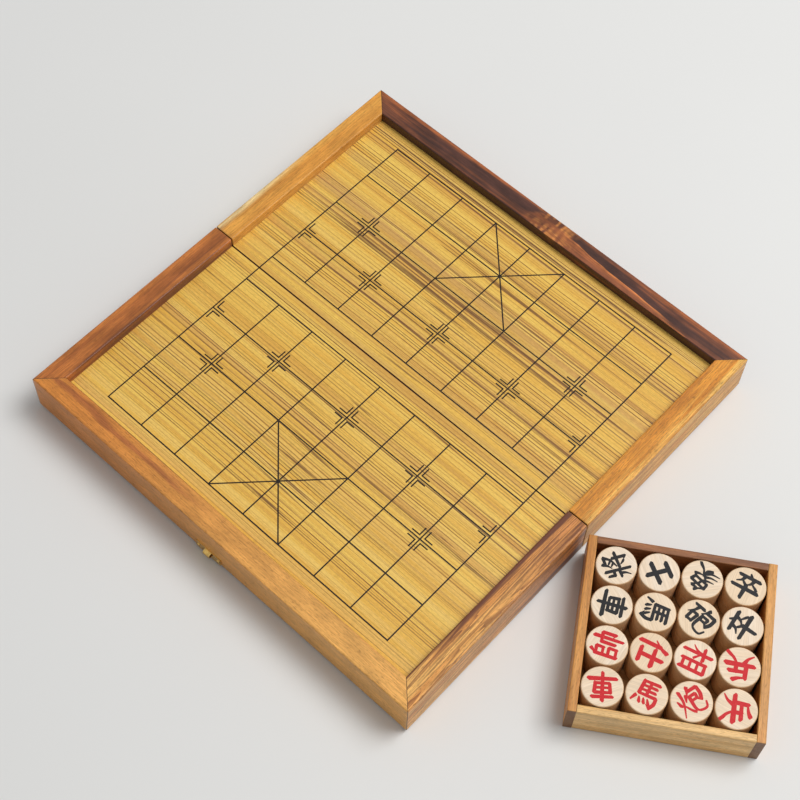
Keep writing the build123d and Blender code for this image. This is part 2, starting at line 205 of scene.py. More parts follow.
def worn_and_lit_edge_group():
    """A mask of the edges, which hands and tables rub and where a painted highlight goes too, and the
    normal of an edge that isn't quite sharp.
    """
    edge_radius = 0.0009
    group, take, give = effect("rubbed edge", [("Place", "Vector", (0, 0, 0))],
                               [("Mask", "Float"), ("Normal", "Vector")])
    rounded = add(group, "Bevel", {"Radius": edge_radius}, samples=6).outputs["Normal"]
    flat = add(group, "NewGeometry").outputs["Normal"]
    worn = ramp(group, measure(group, "DOT_PRODUCT", rounded, flat), 0.995, 0.86)
    patchy = ramp(group, noise(group, take["Place"], 160, 3), 0.35, 0.62, 0.25, 1)
    feed(group, give, {"Mask": maths(group, "MULTIPLY", worn, patchy), "Normal": rounded})
    return group


def end_grain_group():
    """A mask of the faces that look along the given direction, such as a plank's cut ends."""
    group, take, give = effect("end grain", [("Grain", "Vector", (1, 0, 0))], [("Mask", "Float")])
    facing = add(group, "TexCoord").outputs["Normal"]
    along = maths(group, "ABSOLUTE", measure(group, "DOT_PRODUCT", facing, take["Grain"]))
    feed(group, give, {"Mask": ramp(group, along, 0.8, 0.9)})
    return group


def glue_line_group():
    """The fine dark line of a glued mitre, whose outer corner lies at Corner on X and at nought on Y."""
    thinnest, swell = 0.0001, 0.0003
    group, take, give = effect("glue line", [("Place", "Vector", (0, 0, 0)), ("Corner", "Float", 0.15)],
                               [("Mask", "Float")])
    parts = axes(group, take["Place"])
    reached = maths(group, "ADD", maths(group, "ABSOLUTE", parts["X"]), parts["Y"])
    gap = maths(group, "SUBTRACT", take["Corner"], reached)
    width = maths(group, "MULTIPLY_ADD", noise(group, take["Place"], 700), swell, thinnest)
    feed(group, give, {"Mask": maths(group, "LESS_THAN", gap, width)})
    return group


def crevice_shade_group():
    """A mask of painted shade: the narrow places that little light reaches, such as joints, the fold and
    the foot of a wall.
    """
    group, take, give = effect("crevice_shade", [("Reach", "Float", 0.002)], [("Mask", "Float")])
    openness = add(group, "AmbientOcclusion", {"Distance": take["Reach"]}, samples=8).outputs["AO"]
    feed(group, give, {"Mask": ramp(group, openness, 0.62, 0.2)})
    return group


plank_grain, worn_and_lit_edge = plank_grain_group(), worn_and_lit_edge_group()
end_grain, glue_line, crevice_shade = end_grain_group(), glue_line_group(), crevice_shade_group()


def local_place(tree, origin=(0, 0, 0), turn=0):
    """The object's own coordinates, from the given point and turned by the given angle about Z."""
    values = {"Vector": add(tree, "TexCoord").outputs["Object"], "Location": origin,
              "Rotation": (0, 0, turn)}
    return add(tree, "Mapping", values, vector_type="TEXTURE").outputs[0]


def new_finish(name):
    """A material, its nodes and its Principled shader, ready to be fed."""
    finish = bpy.data.materials.new(name)
    finish.use_nodes = True
    return finish, finish.node_tree, finish.node_tree.nodes["Principled BSDF"]


def bump(tree, shader, height, depth, normal=None):
    """Gives the shader small ups and downs of the given depth, on top of a normal if there is one."""
    values = {"Height": height, "Strength": 0.6, "Distance": depth}
    if normal is not None:
        values["Normal"] = normal
    feed(tree, shader.inputs, {"Normal": add(tree, "Bump", values).outputs[0]})


def dress(nodes, finish):
    """Gives pieces that the frame carries their finish."""
    for name in nodes:
        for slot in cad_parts[name].material_slots:
            slot.material = finish


def add_crevice_shade(tree, colour):
    """The colour with painted shade, nearly black in the narrow places that little light reaches."""
    shaded = use(tree, crevice_shade, {"Reach": 0.002})["Mask"]
    return lay_over(tree, colour, shaded, 0.95, tint(24, 14, 8))


def wood(name, origin, turn, pale, deep, streak, share=0.2, band=0.005, waviness=0.002, veins=0.2,
         figure=0.08, pores=0.3, edge=tint(240, 200, 140), mitre_at=None, coat=0.06):
    """One plank's finish, its grain running from the origin at the given angle.

    Pale, deep, share and waviness may also be functions, which work the value out from the place. A rail's
    glued mitres end at mitre_at along its grain.
    """
    finish, tree, shader = new_finish(name)
    place = local_place(tree, origin, turn)

    def here(choice):
        return choice(tree, place) if callable(choice) else choice

    grain = use(tree, plank_grain, {
        "Place": place, "Pale": here(pale), "Deep": here(deep), "Streak": streak,
        "Streak Share": here(share), "Band Width": band, "Waviness": here(waviness), "Veins": veins,
        "Figure": figure, "Pores": pores})
    worn_and_lit = use(tree, worn_and_lit_edge, {"Place": place})
    # The edges are lighter: partly worn, partly a painted highlight.
    colour = lay_over(tree, grain["Color"], worn_and_lit["Mask"], 0.3, edge)
    # Sawn ends are darker, as end grain is, and darker still with painted shade.
    end_grain_and_shade = use(tree, end_grain, {"Grain": (math.cos(turn), math.sin(turn), 0)})["Mask"]
    colour = lay_over(tree, colour, end_grain_and_shade, 0.75, tint(70, 40, 24))
    if mitre_at:
        glued = use(tree, glue_line, {"Place": place, "Corner": mitre_at})["Mask"]
        colour = lay_over(tree, colour, glued, 0.75, tint(70, 38, 20))
    # The base colour carries painted shade in its narrow places.
    feed(tree, shader.inputs, {
        "Base Color": add_crevice_shade(tree, colour), "Roughness": grain["Roughness"], "Specular IOR Level": 0.25,
        "Coat Weight": coat, "Coat Roughness": 0.22})
    bump(tree, shader, grain["Height"], depth=0.00008, normal=worn_and_lit["Normal"])
    return finish


front_low, front_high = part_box("front_rail_a")
back_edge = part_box("back_rail_b")[1].y
board_left, board_right = front_low.x, front_high.x
half_length, half_depth = (board_right - board_left) / 2, (back_edge - front_low.y) / 2
rail_foot = front_low.z

# Along a rail X runs with the grain, from the board's middle or from the fold, and Y inward from its outer
# face. The four side rails are measured from the ends of the fold.
front_start = (fold_middle.x, front_low.y, rail_foot)
back_start = (fold_middle.x, back_edge, rail_foot)
left_start, right_start = (board_left, fold_middle.y, rail_foot), (board_right, fold_middle.y, rail_foot)


def front_rail_tone(tree, place):
    """Reddish at the left end with one soft purple-brown streak, and pale tan at the right end."""
    streak_y, streak_drift = 0.0135, 0.008
    parts = axes(tree, place)
    toward_right = ramp(tree, parts["X"], -0.13, 0.11)
    colour = blend_colours(tree, toward_right, tint(210, 134, 62), tint(232, 172, 92))
    ragged = noise(tree, place, 160, 3, squeeze=(0.15, 1, 1))
    from_streak = maths(tree, "ADD", parts["Y"],
                        maths(tree, "MULTIPLY_ADD", ragged, streak_drift, -streak_y))
    streak = ramp(tree, maths(tree, "ABSOLUTE", from_streak), 0.0032, 0.0006)
    at_left = ramp(tree, parts["X"], 0.0, -0.05, 0, 0.6)
    return lay_over(tree, colour, streak, at_left, tint(150, 80, 54))


dress(["front_rail_a"],
      wood("front_rail_wood", front_start, 0, front_rail_tone, front_rail_tone, tint(180, 108, 54),
           share=0.14, band=0.006, waviness=0.003, veins=0.15, figure=0.12, pores=0.35,
           mitre_at=half_length))

# The back rail is the darkest: purple-brown, with a curly orange knot at its middle, from which a flame of
# redder brown with a bright rim runs out to the right, which is minus X here.
knot_middle = (-0.004, 0.008, 0.03)
knot_reach = (0.019, 0.012, 0.012)


def near_knot(tree, place):
    """One in the middle of the knot, and nothing a little beyond its reach."""
    from_knot = vectors(tree, "DIVIDE", vectors(tree, "SUBTRACT", place, knot_middle), knot_reach)
    return ramp(tree, measure(tree, "LENGTH", from_knot), 1.3, 0.3)


def from_flame_edge(tree, place):
    """How far inward a spot lies from the flame's ragged edge, and a mask of the rail beyond the knot."""
    edge_at_knot, edge_slope, edge_drift = 0.0085, -0.1, 0.01
    parts = axes(tree, place)
    ragged = noise(tree, place, 240, 3, squeeze=(0.12, 1, 1))
    edge = maths(tree, "MULTIPLY_ADD", parts["X"], edge_slope, edge_at_knot)
    inward = maths(tree, "SUBTRACT", maths(tree, "MULTIPLY_ADD", ragged, edge_drift, parts["Y"]), edge)
    return inward, ramp(tree, parts["X"], -0.004, -0.018)


def back_rail_pale(tree, place):
    """The redder flame with its bright rim, and a paler outer edge."""
    y = axes(tree, place)["Y"]
    inward, past_knot = from_flame_edge(tree, place)
    flame = maths(tree, "MULTIPLY", past_knot, ramp(tree, inward, -0.001, 0.002))
    colour = blend_colours(tree, flame, tint(146, 84, 50), tint(174, 102, 60))
    rim = maths(tree, "MULTIPLY", past_knot, ramp(tree, maths(tree, "ABSOLUTE", inward), 0.0014, 0.0003))
    colour = blend_colours(tree, rim, colour, tint(232, 142, 78))
    return blend_colours(tree, ramp(tree, y, 0.004, 0.001, 0, 0.7), colour, tint(182, 104, 58))


def back_rail_deep(tree, place):
    """Dark between the bands, but for the flame and the knot's long curls across the rail."""
    curls = maths(tree, "MULTIPLY", noise(tree, place, 95, 1, squeeze=(1.25, 0.55, 0.6)), 10)
    curls = ramp(tree, maths(tree, "PINGPONG", curls, 1), 0.1, 1.0)
    curls = maths(tree, "MULTIPLY", curls, near_knot(tree, place))
    inward, past_knot = from_flame_edge(tree, place)
    flame = maths(tree, "MULTIPLY", past_knot, ramp(tree, inward, -0.001, 0.002, 0, 0.7))
    colour = blend_colours(tree, flame, tint(112, 66, 46), tint(154, 90, 56))
    return blend_colours(tree, curls, colour, tint(236, 154, 82))


def back_rail_share(tree, place):
    """Dark streaks along the rail's middle, few of them in knot and flame, and painted shade of the streak
    colour all over its inner face.
    """
    y = axes(tree, place)["Y"]
    inward, past_knot = from_flame_edge(tree, place)
    clear = maths(tree, "MULTIPLY", past_knot, ramp(tree, inward, -0.0015, 0.0005, 0, 0.5))
    clear = maths(tree, "MAXIMUM", clear, maths(tree, "MULTIPLY", near_knot(tree, place), 0.6))
    clear = maths(tree, "MAXIMUM", clear, ramp(tree, y, 0.004, 0.0015, 0, 0.3))
    # Painted shade: the inner face is covered in dark streak colour as though in shadow.
    shaded_inner_face = ramp(tree, y, 0.0134, 0.0141, 0, 0.7)
    return maths(tree, "ADD", maths(tree, "SUBTRACT", 0.52, clear), shaded_inner_face)


def back_rail_waviness(tree, place):
    """The grain sways most about the knot."""
    return maths(tree, "MULTIPLY_ADD", near_knot(tree, place), 0.012, 0.004)


dress(["back_rail_b"],
      wood("back_rail_wood", back_start, math.pi, back_rail_pale, back_rail_deep, tint(78, 48, 40),
           share=back_rail_share, band=0.005, waviness=back_rail_waviness, veins=0.4, figure=0.3,
           pores=0.15, edge=tint(150, 96, 62), mitre_at=half_length, coat=0.05))


def left_rail_b_pale(tree, place):
    """Honey, with a cream streak of sapwood along the outer edge near the fold."""
    parts = axes(tree, place)
    sapwood = maths(tree, "MULTIPLY", ramp(tree, parts["Y"], 0.006, 0.001),
                    ramp(tree, parts["X"], -0.09, -0.02))
    return blend_colours(tree, sapwood, tint(232, 170, 80), tint(250, 226, 166))


dress(["left_rail_a"],
      wood("red_rail_wood", left_start, -math.pi / 2,
           tint(194, 118, 58), tint(168, 98, 50), tint(124, 72, 46),
           share=0.3, band=0.006, waviness=0.004, veins=0.15, figure=0.2, edge=tint(206, 140, 84),
           mitre_at=half_depth))
dress(["left_rail_b"],
      wood("pale_rail_wood", left_start, -math.pi / 2,
           left_rail_b_pale, tint(220, 152, 66), tint(190, 112, 48),
           band=0.007, waviness=0.004, figure=0.12, mitre_at=half_depth))


def right_rail_a_pale(tree, place):
    """Pale tan, turning reddish toward the fold."""
    return blend_colours(tree, ramp(tree, axes(tree, place)["X"], -0.1, 0.0),
                         tint(242, 186, 104), tint(206, 134, 78))


def right_rail_a_share(tree, place):
    """More dark figure along the inner edge and toward the fold."""
    parts = axes(tree, place)
    along_inner_edge = ramp(tree, parts["Y"], 0.009, 0.0135, 0.25, 0.55)
    return maths(tree, "ADD", along_inner_edge, ramp(tree, parts["X"], -0.11, -0.01, 0, 0.22))


def right_rail_b_pale(tree, place):
    """Orange, paler along the outer edge."""
    return blend_colours(tree, ramp(tree, axes(tree, place)["Y"], 0.008, 0.002),
                         tint(232, 158, 60), tint(246, 194, 100))


dress(["right_rail_a"],
      wood("figured_rail_wood", right_start, math.pi / 2,
           right_rail_a_pale, tint(214, 144, 74), tint(108, 60, 38),
           share=right_rail_a_share, band=0.0045, waviness=0.006, veins=0.8, figure=0.12, pores=0.4,
           mitre_at=half_depth))
dress(["right_rail_b"],
      wood("golden_rail_wood", right_start, math.pi / 2,
           right_rail_b_pale, tint(214, 138, 50), tint(168, 98, 42),
           share=0.26, band=0.003, waviness=0.003, veins=0.5, figure=0.12, pores=0.45,
           mitre_at=half_depth))


# ---- the seam walls and panels ---------------------------------------------------------------------------
# Plain pale wood, hidden from above: a wall under the fold in each half, which carries the hinges, and a
# thin plywood panel let into grooves in the rails, which carries the veneer.
dress(["seam_wall_a", "seam_wall_b"],
      wood("inside_wood", fold_middle, 0, tint(206, 158, 98), tint(182, 132, 76), tint(150, 100, 56)))
dress(["panel_a", "panel_b"],
      wood("panel_ply", fold_middle, 0, tint(214, 178, 126), tint(196, 156, 102), tint(170, 124, 76),
           share=0.15, band=0.009, coat=0.0))


# ---- the striped veneer ----------------------------------------------------------------------------------
# A sheet of golden veneer with brown lines about two millimetres apart and a few broader mauve-brown bands,
# all along the fold. It is glued to the panel, scored for the grid and lacquered glossier than the rails.
def veneer_lines(tree, drawn_out, per_metre, width, shift):
    """A mask of lines of about the given width that run on for most of the sheet, more or fewer a metre."""
    level = noise(tree, vectors(tree, "ADD", drawn_out, (0, shift, 0)), per_metre, 1)
    from_line = maths(tree, "ABSOLUTE", maths(tree, "SUBTRACT", level, 0.5))
    return ramp(tree, from_line, 0.2 * width * per_metre, 0.06 * width * per_metre)


def veneer_finish():
    """Golden and brown bands, fine lines, a few broad or dark ones, and fibres over all."""
    bands_per_metre, fine_lines_per_metre = 210, 460
    sway, line_squeeze = 0.004, 0.006
    finish, tree, shader = new_finish("striped_veneer")
    place = local_place(tree, fold_middle)
    parts = axes(tree, place)
    swaying = noise(tree, place, 12, 1, squeeze=(0.4, 1, 1))
    across = maths(tree, "ADD", parts["Y"], maths(tree, "MULTIPLY_ADD", swaying, sway, -sway / 2))
    along = maths(tree, "MULTIPLY", parts["X"], line_squeeze)
    drawn_out = add(tree, "CombineXYZ", {"X": along, "Y": across}).outputs[0]

    # Broad zones hold more of the brown than others, which groups the lines.
    grouped = ramp(tree, noise(tree, place, 60, 1, squeeze=(0.02, 1, 1)), 0.42, 0.55, 0.3, 1.0)
    golden = ramp(tree, noise(tree, place, 170, 3, squeeze=(0.03, 1, 1)), 0.35, 0.65)
    colour = blend_colours(tree, golden, tint(240, 197, 92), tint(230, 178, 74))
    band = add(tree, "TexVoronoi", {"W": across, "Scale": bands_per_metre}, voronoi_dimensions="1D")
    band = add(tree, "SeparateColor", {0: band.outputs["Color"]}).outputs
    colour = lay_over(tree, colour, ramp(tree, band[0], 0.6, 0.9), maths(tree, "MULTIPLY", grouped, 0.4),
                      tint(190, 130, 74))
    colour = lay_over(tree, colour, ramp(tree, band[1], 0.6, 0.95), 0.3, tint(238, 200, 118))

    # Fine lines fade and come back along the sheet, and each has its own strength.
    broken = ramp(tree, noise(tree, place, 900, 2, squeeze=(0.03, 1, 1)), 0.3, 0.55, 0.6, 1.0)
    apart = add(tree, "TexVoronoi", {"W": across, "Scale": fine_lines_per_metre, "Randomness": 0.9},
                voronoi_dimensions="1D", feature="DISTANCE_TO_EDGE").outputs["Distance"]
    each_line = ramp(tree, noise(tree, drawn_out, 430, 1), 0.38, 0.56, 0.22, 1.0)
    fine = maths(tree, "MULTIPLY", ramp(tree, apart, 0.19, 0.07), maths(tree, "MULTIPLY", grouped, broken))
    fine = maths(tree, "MULTIPLY", fine, each_line)
    colour = lay_over(tree, colour, fine, 0.95, tint(112, 62, 26))
    mauve = veneer_lines(tree, drawn_out, 48, 0.0012, 0.21)
    colour = lay_over(tree, colour, mauve, 0.25, tint(150, 98, 76))
    dark = maths(tree, "MULTIPLY", veneer_lines(tree, drawn_out, 170, 0.00021, 0.37), broken)
    colour = lay_over(tree, colour, dark, 0.8, tint(98, 54, 28))

    fibres = noise(tree, place, 2600, 2, rough=0.7, squeeze=(0.12, 1, 1))
    colour = blend_colours(tree, 1.0, colour, ramp(tree, fibres, 0.3, 0.7, 0.84, 1.1), "MULTIPLY")
    worn_fold = ramp(tree, maths(tree, "ABSOLUTE", parts["Y"]), 0.0006, 0.0004)
    colour = blend_colours(tree, worn_fold, colour, tint(84, 44, 24))
    # The base colour carries painted shade in its narrow places.
    feed(tree, shader.inputs, {
        "Base Color": add_crevice_shade(tree, colour), "Roughness": maths(tree, "MULTIPLY_ADD", fibres, 0.2, 0.24),
        "Specular IOR Level": 0.35, "Coat Weight": 0.15, "Coat Roughness": 0.18})
    bump(tree, shader, maths(tree, "SUBTRACT", fibres, fine), depth=0.00005)
    return finish


dress(["veneer_a", "veneer_b"], veneer_finish())


# ---- the inked lines -------------------------------------------------------------------------------------
# Black-brown ink fills each scored line to a little under the surface. Its outline is the floor of the
# scoring in the veneer's own mesh, so grid, palaces and position marks all lie where they are cut.
ink_depth = 0.00013


def ink_finish():
    """Black-brown, a little mottled, and glossier in spots."""
    finish, tree, shader = new_finish("line_ink")
    mottled = noise(tree, local_place(tree, fold_middle), 1400, 3)
    colour = blend_colours(tree, ramp(tree, mottled, 0.35, 0.7), tint(20, 13, 9), tint(40, 28, 20))
    feed(tree, shader.inputs, {
        "Base Color": colour, "Roughness": ramp(tree, mottled, 0.3, 0.7, 0.28, 0.42),
        "Specular IOR Level": 0.25})
    bump(tree, shader, mottled, depth=0.00004)
    return finish


def closed_slab(name, flat, rise):
    """The mesh of a closed slab, made by thickening a bmesh of flat, upward faces. It uses the bmesh up."""
    lifted = bmesh.ops.extrude_face_region(flat, geom=flat.faces[:])["geom"]
    for part in lifted:
        if isinstance(part, bmesh.types.BMVert):
            part.co.z += rise
    bmesh.ops.recalc_face_normals(flat, faces=flat.faces[:])
    mesh = bpy.data.meshes.new(name)
    flat.to_mesh(mesh)
    flat.free()
    return mesh


def show(name, mesh, finish, body, matrix=None):
    """Puts a new piece in the scene: its mesh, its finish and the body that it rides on."""
    piece = bpy.data.objects.new(name, mesh)
    if not mesh.materials:
        mesh.materials.append(finish)
    if matrix is not None:
        piece.matrix_world = matrix
    bpy.context.scene.collection.objects.link(piece)
    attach(piece, body)


def scored_floor(veneer):
    """The floor of the scoring in a veneer: its upward faces that lie below the surface."""
    least_upward, highest, same_point = 0.9, surface_z - ink_depth / 2, 1e-6
    floor = bmesh.new()
    floor.from_mesh(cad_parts[veneer].data)
    floor.normal_update()
    others = [f for f in floor.faces if f.normal.z < least_upward or f.calc_center_median().z > highest]
    bmesh.ops.delete(floor, geom=others, context="FACES")
    bmesh.ops.remove_doubles(floor, verts=floor.verts[:], dist=same_point)
    return floor


line_ink = ink_finish()
for half in ("a", "b"):
    ink_mesh = closed_slab(f"ink_{half}", scored_floor(f"veneer_{half}"), ink_depth)
    show(f"inked_grid_{half}", ink_mesh, line_ink, f"half_{half}")


# ---- the hinges and the catch ----------------------------------------------------------------------------
# Thin sheet brass, bent and pressed: two small butt hinges under the fold, a catch plate with a loop on the
# front rail and a hasp on the back one, with brass nails, screws and pins. All has dulled a little.
def dull_brass_group():
    """Colour and roughness of brass that has begun to tarnish, with fine scratches."""
    group, take, give = effect(
        "dull brass", [("Place", "Vector", (0, 0, 0)), ("Bright", "Color", (1, 1, 1, 1)),
                       ("Tarnish", "Color", (0, 0, 0, 1)), ("Age", "Float", 0.4)],
        [("Color", "Color"), ("Roughness", "Float"), ("Height", "Float")])
    clouds = ramp(group, noise(group, take["Place"], 260, 4, rough=0.6), 0.35, 0.75)
    scratches = noise(group, take["Place"], 3000, 2, squeeze=(1, 0.08, 1))
    share = maths(group, "MULTIPLY", clouds, take["Age"])
    roughness = maths(group, "ADD", maths(group, "MULTIPLY_ADD", share, 0.35, 0.2),
                      maths(group, "MULTIPLY", scratches, 0.08))
    feed(group, give, {"Color": blend_colours(group, share, take["Bright"], take["Tarnish"]),
                       "Roughness": roughness, "Height": scratches})
    return group


dull_brass = dull_brass_group()


def brass_finish(name, bright, age):
    """Brass that is tarnished by its age, and lighter along its edges from wear and from a painted
    highlight.
    """
    finish, tree, shader = new_finish(name)
    place = local_place(tree)
    metal = use(tree, dull_brass, {
        "Place": place, "Bright": bright, "Tarnish": tint(120, 88, 44), "Age": age})
    worn_and_lit = use(tree, worn_and_lit_edge, {"Place": place})["Mask"]
    # The edges are lighter: partly worn bright, partly a painted highlight.
    feed(tree, shader.inputs, {
        "Base Color": lay_over(tree, metal["Color"], worn_and_lit, 0.5, tint(250, 226, 160)),
        "Roughness": metal["Roughness"], "Metallic": 1.0})
    bump(tree, shader, metal["Height"], depth=0.00001)
    return finish


dress(["hinge_left_leaf_a", "hinge_right_leaf_a", "hinge_left_leaf_b", "hinge_right_leaf_b",
       "catch_plate", "hasp_plate", "hasp_flap"], brass_finish("brass", tint(226, 188, 108), age=0.5))
dress(["hinge_pins", "hasp_pin", "screws_a", "screws_b"],
      brass_finish("brass_pins", tint(214, 176, 100), age=0.7))


# ---- the tray --------------------------------------------------------------------------------------------
# An open tray of thin straight-grained boards, glued round a plywood floor. The sides run through and show
# dark end grain at the front corners, darkened further with painted shade, the front board is the palest,
# and the back one is dark red-brown.
tray_turn = math.radians(33)
tray_low, tray_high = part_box("tray_bottom")
tray_middle = (tray_low + tray_high) / 2
tray_middle.z = tray_low.z
across_tray, along_tray = tray_turn, tray_turn + math.pi / 2
dress(["tray_left_wall", "tray_right_wall"],
      wood("tray_side_wood", tray_middle, along_tray,
           tint(222, 160, 86), tint(200, 134, 66), tint(166, 100, 46), share=0.22, band=0.004, figure=0.1))
dress(["tray_front_wall"],
      wood("tray_front_wood", tray_middle, across_tray,
           tint(240, 198, 134), tint(226, 176, 106), tint(200, 146, 84), share=0.15))
dress(["tray_back_wall"],
      wood("tray_back_wood", tray_middle, across_tray,
           tint(170, 112, 68), tint(134, 84, 52), tint(92, 54, 38), share=0.4, band=0.004, figure=0.15))
dress(["tray_bottom"],
      wood("tray_floor_ply", tray_middle, across_tray,
           tint(200, 160, 108), tint(178, 134, 84), tint(150, 106, 62), share=0.15, band=0.008, coat=0.0))


# ---- the pieces ------------------------------------------------------------------------------------------
# Thirty-two discs turned from pale maple, sanded smooth and burnished darker round their sides, with
# painted shade there too. Each comes from another spot of the stick, so its tone differs a little and its
# grain lies its own way.
piece_pitch = 0.02425  # from one piece to the next in the tray
piece_low, piece_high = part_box("black_general")


def maple_finish():
    """Pale maple. In each cell of the tray the wood has its own tone, and its grain its own turn."""
    finish, tree, shader = new_finish("piece_wood")
    place = local_place(tree, tray_middle, tray_turn)
    step = (piece_pitch, piece_pitch, piece_high.z - piece_low.z)
    cell = vectors(tree, "FLOOR", vectors(tree, "DIVIDE", place, step))
    seed = vectors(tree, "ADD", cell, (3.1, 7.2, 0.4))
    own = add(tree, "TexWhiteNoise", {0: seed}, noise_dimensions="3D").outputs
    middle = vectors(tree, "MULTIPLY", vectors(tree, "ADD", cell, (0.5, 0.5, 0.5)), step)
    turn = maths(tree, "MULTIPLY", own["Value"], math.tau)
    turned = add(tree, "VectorRotate", {"Vector": place, "Center": middle, "Angle": turn}).outputs[0]
    shifted = vectors(tree, "ADD", turned, own["Color"])
    pale = blend_colours(tree, own["Value"], tint(244, 226, 204), tint(236, 208, 172))
    grain = use(tree, plank_grain, {
        "Place": shifted, "Pale": pale, "Deep": tint(232, 204, 170), "Streak": tint(214, 172, 132),
        "Streak Share": 0.16, "Band Width": 0.0035, "Waviness": 0.003, "Veins": 0.1, "Figure": 0.04,
        "Pores": 0.1})
    worn_and_lit = use(tree, worn_and_lit_edge, {"Place": shifted})
    colour = blend_colours(tree, 0.45, grain["Color"], pale)
    # The edges are lighter: partly worn, partly a painted highlight.
    colour = lay_over(tree, colour, worn_and_lit["Mask"], 0.3, tint(246, 230, 206))
    # The sides are darker than the faces: burnished, and with painted shade.
    level = use(tree, end_grain, {"Grain": (0, 0, 1)})["Mask"]
    burnished_and_shaded = maths(tree, "MULTIPLY_ADD", level, -0.75, 0.75)
    feed(tree, shader.inputs, {
        "Base Color": blend_colours(tree, burnished_and_shaded, colour, tint(236, 208, 170), "MULTIPLY"),
        "Roughness": maths(tree, "ADD", grain["Roughness"], 0.12), "Specular IOR Level": 0.35})
    bump(tree, shader, grain["Height"], depth=0.00005, normal=worn_and_lit["Normal"])
    return finish


kinds = {"general": 1, "advisor": 2, "elephant": 2, "chariot": 2, "horse": 2, "cannon": 2, "soldier": 5}
piece_names = [f"{side}_{kind}_{n + 1}" if count > 1 else f"{side}_{kind}"
               for side in ("black", "red") for kind, count in kinds.items() for n in range(count)]
dress(piece_names, maple_finish())


# ---- the marks on the pieces -----------------------------------------------------------------------------
# The game's traditional signs, brushed on in thick black or red paint. Each stroke is the brush's print
# drawn along its line, and a sign's strokes run together into one thin raised film.
mark_size = 0.0162  # a sign's square on the piece
film_rise, film_root = 0.00003, 0.00001  # above the piece's face, and into it
nib_long, nib_wide, nib_slant = 0.96, 0.68, math.radians(-40)  # of a stroke's width, and from level

